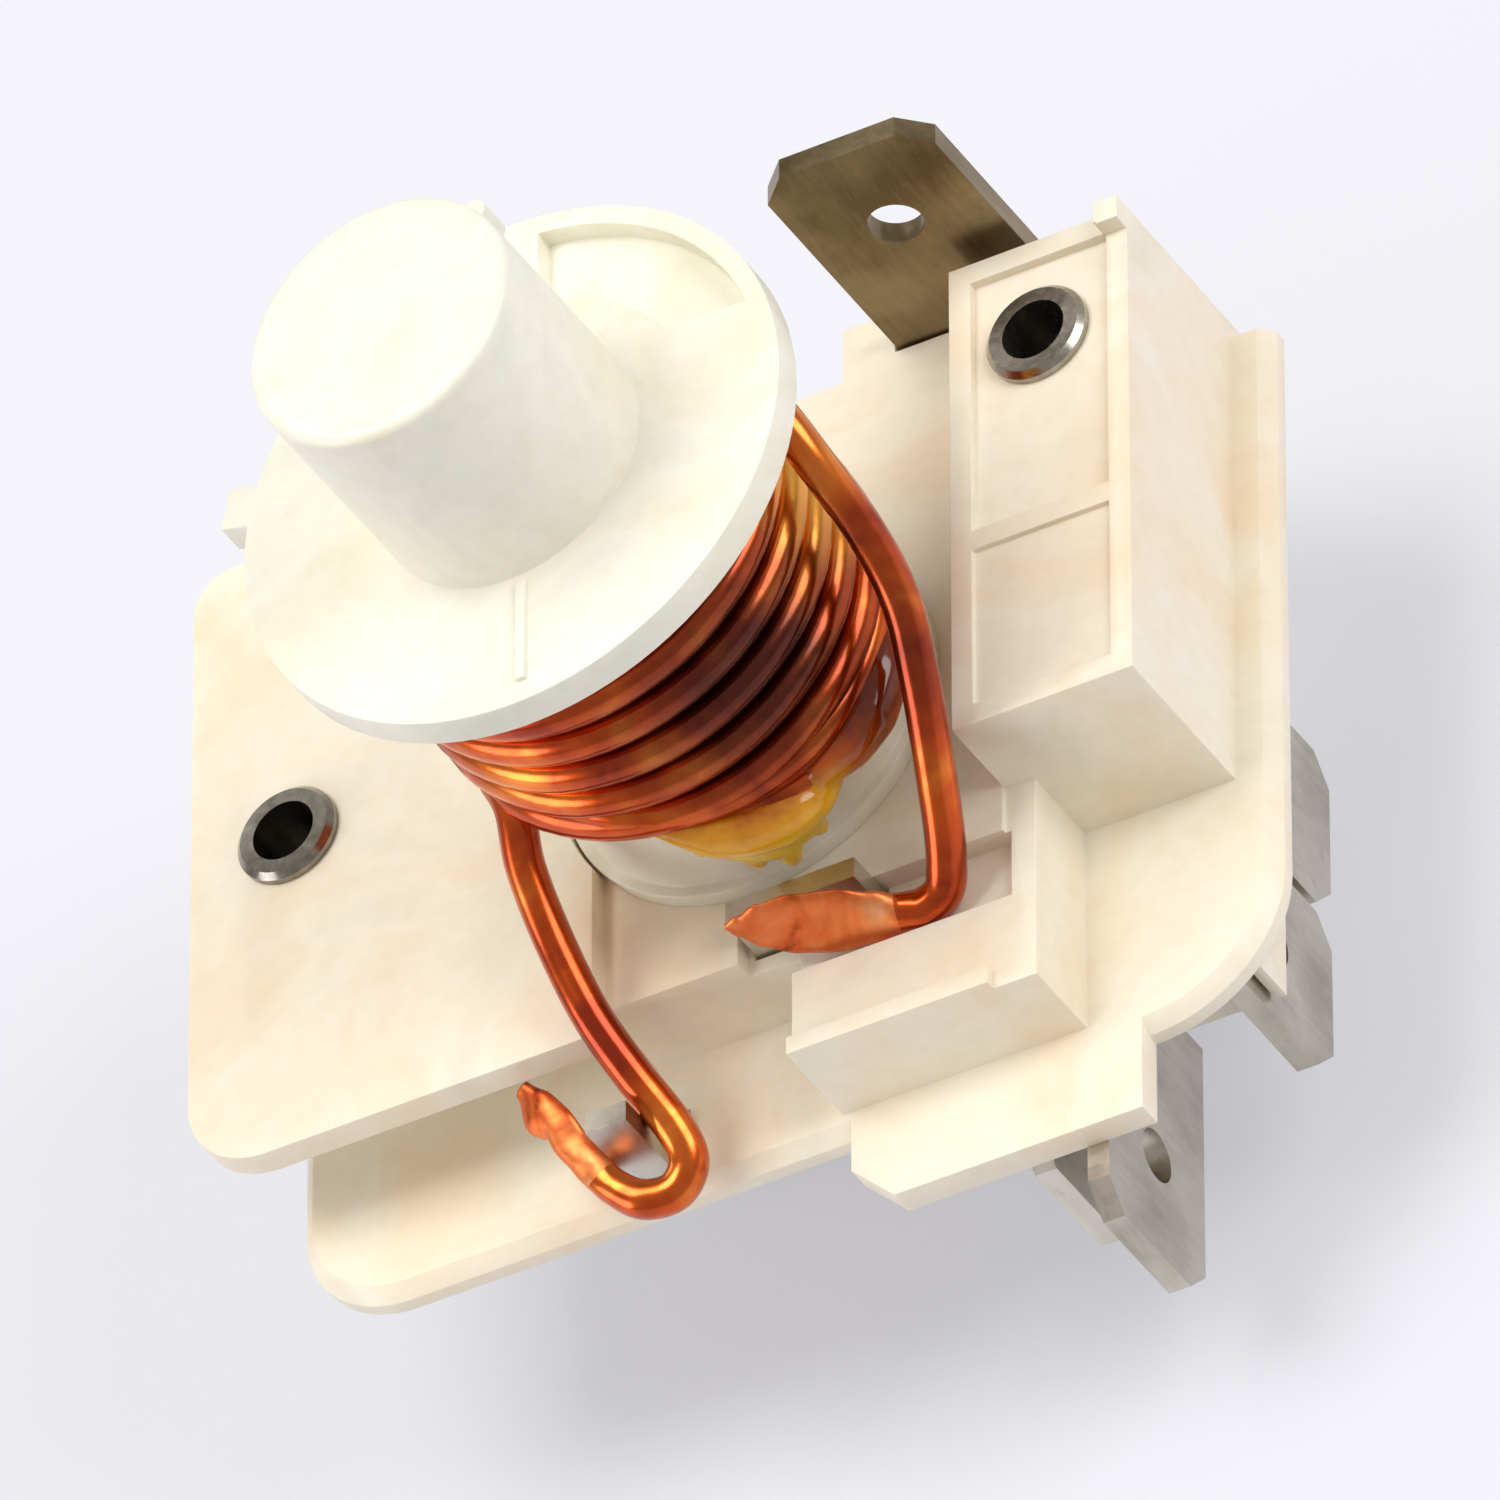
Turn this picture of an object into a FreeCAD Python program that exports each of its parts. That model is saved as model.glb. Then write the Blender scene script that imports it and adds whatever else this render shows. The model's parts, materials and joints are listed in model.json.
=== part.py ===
import FreeCAD, Part
import math
import os

from FreeCAD import Vector

os.makedirs("parts", exist_ok=True)

# Plug-on start relay of a small hermetic compressor, in millimetres.
# While it is drawn, x runs to the right, y to the back and z up the coil axis,
# from the front left corner of the deck, whose top face lies at z = 0.
# At the end everything is moved so that the lower end of the main pin's sleeve is the origin.

# Levels of the two housing mouldings, from the deck down
deck_top = 0.0
deck_thickness = 1.0
platform_drop = 0.8
flange_top = -4.3
flange_thickness = 1.0
ceiling_thickness = 1.0
base_plate_depth = 2.2
chamber_depth = 6.7
floor_thickness = 1.2
socket_depth = 9.7

# Deck on the left, seen from above
deck_length = 15.3
deck_depth = 25.2
deck_front_radius = 3.0
deck_back_radius = 1.5
deck_overhang = 1.0
deck_wall_left = 2.7
deck_wall_front = 3.5

# Flange that runs round the foot of the upper moulding
flange_left = 1.7
flange_right = 38.4
flange_front = -3.9
flange_back = 23.4
flange_left_radius = 4.0
flange_right_radius = 5.0
flange_bevel = 0.5

# Tongue at the middle of the front edge
tongue_left = 22.5
tongue_right = 33.3
tongue_reach = 3.2
tongue_chamfer = 1.6

# Raised forms on the flange
platform_front = 1.5
middle_left = 22.2
middle_right = 31.3
middle_front = -3.1
middle_drop = 1.0
middle_lip_height = 0.4
middle_lip_width = 0.7
middle_lip_right = 29.7
tower_left = 30.2
tower_right = 36.9
tower_front = 4.9
tower_back = 24.1
tower_top = 2.5
tower_rib = 0.8
tower_recess_depth = 0.35
tower_front_recess_depth = 0.2
tower_cross_rib = 12.1
tower_nub_width = 0.9
tower_nub_height = 0.7
back_shelf_left = 24.3
back_shelf_right = 33.1
back_shelf_front = 19.6
back_shelf_back = 26.4

# Coil axis and bobbin
coil_x = 21.0
coil_y = 11.0
bore_radius = 3.85
tube_radius = 6.5
lower_flange_radius = 6.9
lower_flange_thickness = 0.6
upper_flange_radius = 10.0
upper_flange_thickness = 1.2
bobbin_height = 15.8
boss_radius = 4.8
boss_height = 8.5
boss_top_thickness = 1.2
boss_fillet = 0.4
boss_nub_radius = 0.45
boss_nub_angle = 48.0
boss_nub_drop = 0.6
boss_nub_height = 1.4
flange_nub_width = 1.6
flange_nub_reach = 1.0
flange_nub_root = 8.0
flange_nub_angle = 167.0
seam_width = 0.35
seam_height = 0.2
seam_offset = 0.3
seam_inner = 5.2
seam_outer = 9.2
spigot_radius = 5.2
spigot_depth = 0.6
spigot_clearance = 0.05
window_edge = 3.2
window_start = 1.0
window_rim = 0.7
window_depth = 0.8
window_lug_radius = 0.9
window_lug_x = 3.2
window_lug_y = 3.6

# Coil wire
wire_diameter = 1.35
wire_sides = 6
wire_gap = 0.1
wire_pitch = 1.42
top_turn_gap = 0.15
whole_turns = 5
lower_end_angle = 212.0
upper_end_angle = 38.0
varnish_start = -83.0
varnish_end = -25.0
varnish_width = 1.9
varnish_height = 3.6
varnish_gap = 0.1
weld_width = 2.6
weld_thickness = 0.7
weld_length = 6.4
flattening_length = 1.6
hook_weld_width = 1.6

# Plunger, its rod and the contact bridge
plunger_clearance = 0.05
plunger_length = 14.0
plunger_chamfer = 0.4
plunger_lift = 2.0
rod_radius = 0.95
rod_clearance = 0.08
rod_in_plunger = 4.0
rod_below_clip = 0.6
bridge_length = 13.4
bridge_width = 3.6
bridge_thickness = 0.8
bridge_clearance = 0.1
bridge_corner_radius = 0.8
contact_radius = 1.2
contact_height = 0.8
contact_span = 11.0
washer_radius = 1.9
washer_thickness = 0.5
spring_wire = 0.36
spring_sides = 6
spring_radius = 1.4
spring_length = 3.2
spring_turns = 4

# Contact chamber
chamber_length = 16.0
chamber_width = 8.0
chamber_wall = 1.5

# Terminal strips
strip_thickness = 0.8
strip_gap = 0.1
tab_width = 6.3
tab_chamfer = 1.0
tab_hole_radius = 0.95
tab_hole_from_tip = 3.9

# Places of the five tabs
upper_tab_left = 26.4
upper_tab_front = 24.8
upper_tab_height = 8.7
inner_front_tab_x = 28.2
inner_front_tab_reach = 6.6
outer_front_tab_x = 30.7
outer_front_tab_reach = 9.5
side_tab_x = 35.6
side_tab_length = 6.2
side_tab_front_y = -2.4
side_tab_back_y = 4.3

# Lower moulding, seen from above
base_left = 2.5
base_right = 36.9
base_front = -1.8
base_back = 23.5
base_corner_radius = 1.5
socket_left = 15.5
socket_right = 31.4
socket_back = 23.0

# Compressor pins that the relay plugs onto
pin_radius = 1.15
pin_spacing = 8.4
main_pin_x = 20.0
pin_row_y = 18.5
sleeve_wall = 0.7
sleeve_clearance = 0.1
sleeve_slit = 0.5
mouth_radius = 1.4
mouth_thickness = 0.8

# Tubular rivets
rivet_shank_radius = 1.4
rivet_bore_radius = 1.15
rivet_head_radius = 1.85
rivet_head_thickness = 0.45
rivet_head_bevel = 0.2
rivet_clearance = 0.05
left_rivet_x = 3.8
left_rivet_y = 12.8
right_rivet_x = 33.4
right_rivet_y = 20.3

# Levels and places that follow from the sizes above
platform_top = deck_top - platform_drop
split = flange_top - flange_thickness
strip_bottom = split - strip_thickness
base_bottom = split - base_plate_depth
chamber_floor = split - chamber_depth
chamber_bottom = chamber_floor - floor_thickness
socket_bottom = split - socket_depth
chamber_ceiling = platform_top - ceiling_thickness
chamber_left = coil_x - chamber_length / 2
chamber_right = coil_x + chamber_length / 2
chamber_front = coil_y - chamber_width / 2
chamber_back = coil_y + chamber_width / 2
bobbin_top = platform_top + bobbin_height
upper_flange_bottom = bobbin_top - upper_flange_thickness
boss_top = bobbin_top + boss_height
start_pin_x = main_pin_x + pin_spacing
wire_radius = wire_diameter / 2
winding_radius = tube_radius + wire_gap + wire_radius
turns = whole_turns + (lower_end_angle - upper_end_angle) / 360
top_z = upper_flange_bottom - top_turn_gap - wire_radius
bottom_z = top_z - turns * wire_pitch
left_contact_x = coil_x - contact_span / 2
right_contact_x = coil_x + contact_span / 2


def block(x0, x1, y0, y1, z0, z1):
    return Part.makeBox(x1 - x0, y1 - y0, z1 - z0, Vector(x0, y0, z0))


def post(x, y, radius, z0, z1):
    return Part.makeCylinder(radius, z1 - z0, Vector(x, y, z0))


def union(shapes):
    whole = shapes[0].multiFuse(shapes[1:]) if len(shapes) > 1 else shapes[0]
    return whole.removeSplitter()


def edges_along_z(shape, corners):
    """The upright edges that stand over the given plan corners."""
    found = []
    for edge in shape.Edges:
        start = edge.firstVertex().Point
        end = edge.lastVertex().Point
        upright = abs(start.x - end.x) < 0.001 and abs(start.y - end.y) < 0.001
        for x, y in corners:
            if upright and abs(start.x - x) < 0.01 and abs(start.y - y) < 0.01:
                found.append(edge)
    return found


def edges_at_level(shape, z):
    """The level edges that lie at height z."""
    found = []
    for edge in shape.Edges:
        box = edge.BoundBox
        if abs(box.ZMin - z) < 0.001 and abs(box.ZMax - z) < 0.001:
            found.append(edge)
    return found


# Terminal strips: each is a set of rectangles in the joint between the mouldings


strip_width = 2.0
contact_pad = 1.5
run_inset = 0.8
run_spacing = 0.4
sleeve_room = 0.35
rivet_room = 0.5
side_run_inset = 1.2
upper_run_gap = 2.0
front_run_back = 0.9
front_run_front = -1.5
line_branch_left = chamber_right - run_inset
main_run_front = 1.3
main_run_back = 3.6
main_branch_left = 8.6
capacitor_branch_left = main_branch_left + strip_width + run_spacing
sleeve_radius = pin_radius + sleeve_wall
back_run_front = chamber_back - run_inset
back_run_back = pin_row_y - sleeve_radius - sleeve_room
middle_run_half = 1.3
pin_middle_x = main_pin_x + pin_spacing / 2
upper_tab_back = upper_tab_front + strip_thickness
start_run_front = 15.6
start_run_back = right_rivet_y - rivet_shank_radius - rivet_room
side_run_left = side_tab_x - side_run_inset
side_run_right = side_tab_x + strip_thickness

line_lug_left = 14.9
line_lug_width = 1.5
line_lug_reach = 3.7
line_lug_step_top = flange_top + strip_thickness + strip_gap
line_lug_top = -0.3
main_lug_left = 20.6
main_lug_width = 4.8
main_lug_front = 2.2
main_lug_top = 0.5
weld_trough_depth = 0.8
weld_trough_left = 20.3
weld_trough_right = 30.4
weld_trough_front = 0.5
weld_trough_floor = platform_top - weld_trough_depth

line_runs = [
    (line_lug_left, line_branch_left + strip_width, front_run_front, front_run_back),
    (line_branch_left, line_branch_left + strip_width, front_run_front, coil_y + contact_pad),
    (right_contact_x - contact_pad, line_branch_left + strip_width,
     coil_y - contact_pad, coil_y + contact_pad),
]
main_runs = [
    (main_branch_left, main_lug_left + main_lug_width, main_run_front, main_run_back),
    (main_branch_left, main_branch_left + strip_width, main_run_front, pin_row_y + contact_pad),
    (main_branch_left, main_pin_x + sleeve_radius, pin_row_y - contact_pad, pin_row_y + contact_pad),
]
capacitor_runs = [
    (capacitor_branch_left, left_contact_x + contact_pad, coil_y - contact_pad, coil_y + contact_pad),
    (capacitor_branch_left, capacitor_branch_left + strip_width, coil_y - contact_pad, back_run_back),
    (capacitor_branch_left, pin_middle_x + middle_run_half, back_run_front, back_run_back),
    (pin_middle_x - middle_run_half, pin_middle_x + middle_run_half, back_run_front, upper_tab_back),
    (pin_middle_x - middle_run_half, upper_tab_left + tab_width,
     pin_row_y + sleeve_radius + upper_run_gap, upper_tab_back),
]
start_runs = [
    (start_pin_x - sleeve_radius, start_pin_x + sleeve_radius,
     pin_row_y - sleeve_radius, pin_row_y + sleeve_radius),
    (start_pin_x, side_run_right, start_run_front, start_run_back),
    (side_run_left, side_run_right, side_tab_back_y, start_run_back),
]
neutral_runs = [
    (outer_front_tab_x, side_run_right, front_run_front, front_run_back),
    (side_run_left, side_run_right, side_tab_front_y, side_tab_front_y + tab_width),
]
all_runs = line_runs + main_runs + capacitor_runs + start_runs + neutral_runs


def flat_strip(runs):
    return union([block(x0, x1, y0, y1, strip_bottom, split) for x0, x1, y0, y1 in runs])


def tab_face(length, width):
    """A push-on tab in the x-y plane: root at x = 0, bevelled tip at x = length."""
    outline = [
        Vector(0, 0, 0),
        Vector(length - tab_chamfer, 0, 0),
        Vector(length, tab_chamfer, 0),
        Vector(length, width - tab_chamfer, 0),
        Vector(length - tab_chamfer, width, 0),
        Vector(0, width, 0),
    ]
    wire = Part.makePolygon(outline + [outline[0]])
    blade = Part.Face(wire).extrude(Vector(0, 0, strip_thickness))
    hole = post(length - tab_hole_from_tip, width / 2, tab_hole_radius, -1, strip_thickness + 1)
    return blade.cut(hole)


def tab_up(x, y, z0, length):
    """Tab that points up, with its width along x and its face to the front."""
    tab = tab_face(length, tab_width)
    tab.rotate(Vector(0, 0, 0), Vector(0, 1, 0), -90)
    tab.rotate(Vector(0, 0, 0), Vector(0, 0, 1), -90)
    tab.translate(Vector(x, y, z0) - corner(tab))
    return tab


def tab_down(x, y, z1, length):
    """Tab that points down, with its width along y and its face to the side."""
    tab = tab_face(length, tab_width)
    tab.rotate(Vector(0, 0, 0), Vector(0, 1, 0), 90)
    tab.translate(Vector(x, y, z1 - length) - corner(tab))
    return tab


def tab_forward(x, y0, y1, z1):
    """Tab that points to the front, with its width along z and its face to the side."""
    tab = tab_face(y1 - y0, tab_width)
    tab.rotate(Vector(0, 0, 0), Vector(0, 0, 1), -90)
    tab.rotate(Vector(0, 0, 0), Vector(0, 1, 0), 90)
    tab.translate(Vector(x, y0, z1 - tab_width) - corner(tab))
    return tab


def corner(shape):
    box = shape.BoundBox
    return Vector(box.XMin, box.YMin, box.ZMin)


def make_line_terminal():
    lug = block(line_lug_left, line_lug_left + line_lug_width,
                front_run_front, front_run_front + strip_thickness, strip_bottom, line_lug_step_top)
    step = block(line_lug_left, line_lug_left + line_lug_width, -line_lug_reach,
                 front_run_front + strip_thickness, line_lug_step_top - strip_thickness, line_lug_step_top)
    hook_post = block(line_lug_left, line_lug_left + line_lug_width, -line_lug_reach,
                      strip_thickness - line_lug_reach, line_lug_step_top - strip_thickness, line_lug_top)
    tab = tab_forward(inner_front_tab_x, -inner_front_tab_reach, front_run_back, split)
    return union([flat_strip(line_runs), lug, step, hook_post, tab])


def make_main_terminal():
    lug = block(main_lug_left, main_lug_left + main_lug_width,
                main_lug_front, main_lug_front + strip_thickness, strip_bottom, main_lug_top)
    return union([flat_strip(main_runs), lug])


def make_capacitor_terminal():
    tab = tab_up(upper_tab_left, upper_tab_front, strip_bottom, upper_tab_height - strip_bottom)
    return union([flat_strip(capacitor_runs), tab])


def make_start_terminal():
    tab = tab_down(side_tab_x, side_tab_back_y, split, side_tab_length)
    return union([flat_strip(start_runs), tab])


def make_neutral_terminal():
    front_tab = tab_forward(outer_front_tab_x, -outer_front_tab_reach, front_run_back, split)
    side_tab = tab_down(side_tab_x, side_tab_front_y, split, side_tab_length)
    return union([flat_strip(neutral_runs), front_tab, side_tab])


def make_upper_housing():
    flange = block(flange_left, flange_right, flange_front, flange_back, split, flange_top)
    flange = flange.makeFillet(flange_left_radius, edges_along_z(flange, [(flange_left, flange_front)]))
    flange = flange.makeFillet(flange_right_radius, edges_along_z(flange, [(flange_right, flange_front)]))
    right_rim = [edge for edge in edges_at_level(flange, flange_top)
                 if edge.BoundBox.XMin > flange_right - flange_right_radius - 0.01]
    flange = flange.makeChamfer(flange_bevel, right_rim)

    deck = block(0, deck_length, 0, deck_depth, deck_top - deck_thickness, deck_top)
    deck = deck.makeFillet(deck_front_radius, edges_along_z(deck, [(0, 0)]))
    deck = deck.makeFillet(deck_back_radius, edges_along_z(deck, [(0, deck_depth)]))
    deck_wall = block(deck_wall_left, deck_length, deck_wall_front, deck_depth - deck_overhang,
                      split, deck_top - deck_thickness)

    platform = block(deck_length, tower_left, platform_front, deck_depth - deck_overhang,
                     split, platform_top)
    shelf = block(back_shelf_left, back_shelf_right, back_shelf_front, back_shelf_back,
                  split, platform_top)
    tower = block(tower_left, tower_right, tower_front, tower_back, split, tower_top)
    tower_nub = block(tower_right - tower_nub_width, tower_right, tower_back - tower_nub_width,
                      tower_back, tower_top, tower_top + tower_nub_height)
    middle = block(middle_left, middle_right, middle_front, tower_front,
                   split, deck_top - middle_drop)
    lip = block(middle_left, middle_lip_right, middle_front, middle_front + middle_lip_width,
                split, deck_top - middle_drop + middle_lip_height)
    tongue = block(tongue_left, tongue_right, flange_front - tongue_reach, middle_front,
                   split, flange_top)
    tongue = tongue.makeChamfer(tongue_chamfer,
                                edges_along_z(tongue, [(tongue_left, flange_front - tongue_reach)]))
    body = union([flange, deck, deck_wall, platform, shelf, tower, tower_nub, middle, lip, tongue])

    recess_front = tower_cross_rib + tower_rib
    back_recess = block(tower_left + tower_rib, tower_right - tower_rib,
                        recess_front, tower_back - tower_rib,
                        tower_top - tower_recess_depth, tower_top + 1)
    front_recess = block(tower_left + tower_rib, tower_right - tower_rib,
                         tower_front + tower_rib, tower_cross_rib,
                         tower_top - tower_front_recess_depth, tower_top + 1)
    chamber = block(chamber_left, chamber_right, chamber_front, chamber_back,
                    split - 1, chamber_ceiling)
    seat = post(coil_x, coil_y, spigot_radius + spigot_clearance,
                platform_top - spigot_depth, platform_top + 1)
    flange_room = post(coil_x, coil_y, lower_flange_radius + strip_gap, platform_top, deck_top + 1)
    rod_hole = post(coil_x, coil_y, rod_radius + rod_clearance, chamber_ceiling - 1, platform_top)
    rivet_hole = rivet_shank_radius + rivet_clearance
    left_hole = post(left_rivet_x, left_rivet_y, rivet_hole, split - 1, deck_top + 1)
    right_hole = post(right_rivet_x, right_rivet_y, rivet_hole, split - 1, tower_top + 1)
    upper_slot = block(upper_tab_left - strip_gap, upper_tab_left + tab_width + strip_gap,
                       upper_tab_front - strip_gap, upper_tab_front + strip_thickness + strip_gap,
                       split - 1, tower_top + 1)
    line_slot = block(line_lug_left - strip_gap, line_lug_left + line_lug_width + strip_gap,
                      front_run_front - strip_gap, front_run_front + strip_thickness + strip_gap,
                      split - 1, deck_top + 1)
    main_slot = block(main_lug_left - strip_gap, main_lug_left + main_lug_width + strip_gap,
                      main_lug_front - strip_gap, main_lug_front + strip_thickness + strip_gap,
                      split - 1, deck_top + 1)
    weld_trough = block(weld_trough_left, weld_trough_right, weld_trough_front,
                        main_lug_front + strip_thickness + strip_gap, weld_trough_floor, deck_top + 1)
    for hollow in [back_recess, front_recess, chamber, seat, flange_room, rod_hole, left_hole, right_hole,
                   upper_slot, line_slot, main_slot, weld_trough]:
        body = body.cut(hollow)
    return body.removeSplitter()


def make_lower_housing():
    plate = block(base_left, base_right, base_front, base_back, base_bottom, split)
    corners = [(base_left, base_front), (base_left, base_back), (base_right, base_back)]
    plate = plate.makeFillet(base_corner_radius, edges_along_z(plate, corners))
    chamber_box = block(chamber_left - chamber_wall, chamber_right + chamber_wall,
                        chamber_front - chamber_wall, chamber_back + chamber_wall,
                        chamber_bottom, split)
    socket = block(socket_left, socket_right, chamber_back, socket_back, socket_bottom, split)
    socket = socket.makeFillet(base_corner_radius, edges_along_z(
        socket, [(socket_left, socket_back), (socket_right, socket_back)]))
    body = union([plate, chamber_box, socket])

    hollows = [block(chamber_left, chamber_right, chamber_front, chamber_back,
                     chamber_floor, split + 1)]
    for x0, x1, y0, y1 in all_runs:
        hollows.append(block(x0 - strip_gap, x1 + strip_gap, y0 - strip_gap, y1 + strip_gap,
                             strip_bottom, split + 1))
    for x in [inner_front_tab_x, outer_front_tab_x]:
        hollows.append(block(x - strip_gap, x + strip_thickness + strip_gap,
                             base_front - 1, front_run_back + strip_gap,
                             split - tab_width - 1, split + 1))
    for y in [side_tab_front_y, side_tab_back_y]:
        hollows.append(block(side_tab_x - strip_gap, side_tab_x + strip_thickness + strip_gap,
                             y - strip_gap, y + tab_width + strip_gap,
                             base_bottom - 1, split + 1))
    for x in [main_pin_x, start_pin_x]:
        sleeve_hole = pin_radius + sleeve_wall + sleeve_clearance
        hollows.append(post(x, pin_row_y, sleeve_hole, socket_bottom + mouth_thickness, split + 1))
        hollows.append(post(x, pin_row_y, mouth_radius, socket_bottom - 1, split))
    for x, y in [(left_rivet_x, left_rivet_y), (right_rivet_x, right_rivet_y)]:
        hollows.append(post(x, y, rivet_shank_radius + rivet_clearance, base_bottom - 1, split + 1))
    for hollow in hollows:
        body = body.cut(hollow)
    return body.removeSplitter()


def make_coil_bobbin():
    spigot = post(coil_x, coil_y, spigot_radius, platform_top - spigot_depth, platform_top)
    lower_flange = post(coil_x, coil_y, lower_flange_radius,
                        platform_top, platform_top + lower_flange_thickness)
    tube = post(coil_x, coil_y, tube_radius, platform_top, bobbin_top)
    upper_flange = post(coil_x, coil_y, upper_flange_radius, upper_flange_bottom, bobbin_top)
    window_floor = bobbin_top - window_depth
    window = block(coil_x + window_start, coil_x + upper_flange_radius,
                   coil_y + window_edge, coil_y + upper_flange_radius,
                   window_floor, bobbin_top + 1)
    window = window.common(post(coil_x, coil_y, upper_flange_radius - window_rim,
                                window_floor - 1, bobbin_top + 1))
    window = window.cut(post(coil_x, coil_y, boss_radius, window_floor - 1, bobbin_top + 2))
    lug = post(coil_x + window_lug_x, coil_y + window_lug_y, window_lug_radius,
               upper_flange_bottom, bobbin_top)
    boss = post(coil_x, coil_y, boss_radius, bobbin_top, boss_top)
    boss = boss.makeFillet(boss_fillet, edges_at_level(boss, boss_top))
    nub_angle = math.radians(boss_nub_angle)
    boss_nub = post(coil_x + boss_radius * math.cos(nub_angle),
                    coil_y + boss_radius * math.sin(nub_angle), boss_nub_radius,
                    boss_top - boss_nub_drop - boss_nub_height, boss_top - boss_nub_drop)
    flange_nub = block(flange_nub_root, upper_flange_radius + flange_nub_reach, -flange_nub_width / 2,
                       flange_nub_width / 2, upper_flange_bottom, bobbin_top)
    flange_nub.rotate(Vector(0, 0, 0), Vector(0, 0, 1), flange_nub_angle)
    flange_nub.translate(Vector(coil_x, coil_y, 0))
    seam_left = coil_x + seam_offset
    seam = block(seam_left, seam_left + seam_width, coil_y - seam_outer, coil_y - seam_inner,
                 upper_flange_bottom, bobbin_top + seam_height)
    body = union([spigot, lower_flange, tube, upper_flange.cut(window), lug, boss, boss_nub,
                  flange_nub, seam])
    bore = post(coil_x, coil_y, bore_radius, platform_top - spigot_depth - 1,
                boss_top - boss_top_thickness)
    return body.cut(bore).removeSplitter()


def level_way(direction):
    """Level line at right angles to a direction."""
    return Vector(0, 0, 1).cross(direction).normalize()


def tube_along(points, radii):
    """Round wire along straight runs joined by tangent arcs."""
    edges = []
    start = points[0]
    for index, radius in enumerate(radii):
        before, here, after = points[index], points[index + 1], points[index + 2]
        back = (before - here).normalize()
        ahead = (after - here).normalize()
        half_angle = back.getAngle(ahead) / 2
        reach = radius / math.tan(half_angle)
        entry = here + back * reach
        leave = here + ahead * reach
        middle_line = (back + ahead).normalize()
        centre = here + middle_line * (radius / math.sin(half_angle))
        middle = centre - middle_line * radius
        edges.append(Part.LineSegment(start, entry).toShape())
        edges.append(Part.Arc(entry, middle, leave).toShape())
        start = leave
    edges.append(Part.LineSegment(start, points[-1]).toShape())
    path = Part.Wire(edges)
    direction = (points[1] - points[0]).normalize()
    section = flattened_section(points[0], direction, level_way(direction), wire_radius, wire_radius)
    return path.makePipeShell([section], True, False)


# Corners of the two leads after the winding, chosen along their real course
upper_lead_run = 6.0
upper_lead_corners = [Vector(31.3, 7.9, 7.4), Vector(30.3, 3.9, 2.9), Vector(29.5, 1.5, -0.6)]
upper_lead_radii = [3.5, 5.0, 5.0, 1.3]
lower_lead_run = 1.7
lower_lead_corners = [Vector(14.8, 3.4, 3.3), Vector(17.7, -3.6, -2.8), Vector(16.5, -5.7, -3.4)]
lower_lead_radii = [2.2, 5.0, 1.4, 1.1]
lower_tail_start = Vector(14.1, -4.1, -2.1)
lower_tail_way = Vector(-0.48, 0.83, 0.27)
lower_tail_wide = Vector(1, 0.5, 0)
lower_tail_length = 4.4


def flattened_section(centre, direction, wide, half_width, half_thickness):
    """Section of the wire, wide along one way and thin across it."""
    across = direction.cross(wide).normalize()
    corners = []
    for index in range(wire_sides):
        angle = 2 * math.pi * (index + 0.5) / wire_sides
        corners.append(centre + wide * (half_width * math.cos(angle))
                       + across * (half_thickness * math.sin(angle)))
    return Part.makePolygon(corners + [corners[0]])


def flattened_end(start, direction, wide, length, width):
    """End of the wire, pressed flat for the weld."""
    stations = [
        (0, wire_radius, wire_radius),
        (flattening_length, width / 2, weld_thickness / 2),
        (length - weld_thickness, width / 2, weld_thickness / 2),
        (length, width / 3, weld_thickness / 3),
    ]
    sections = [flattened_section(start + direction * along, direction, wide, half_width, half_thickness)
                for along, half_width, half_thickness in stations]
    return Part.makeLoft(sections, True, True)


def winding_bottom_z(angle):
    """Height of the lowest turn's middle at an angle round the coil axis."""
    return bottom_z + (lower_end_angle + 360 - angle) / 360 * wire_pitch


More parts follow.
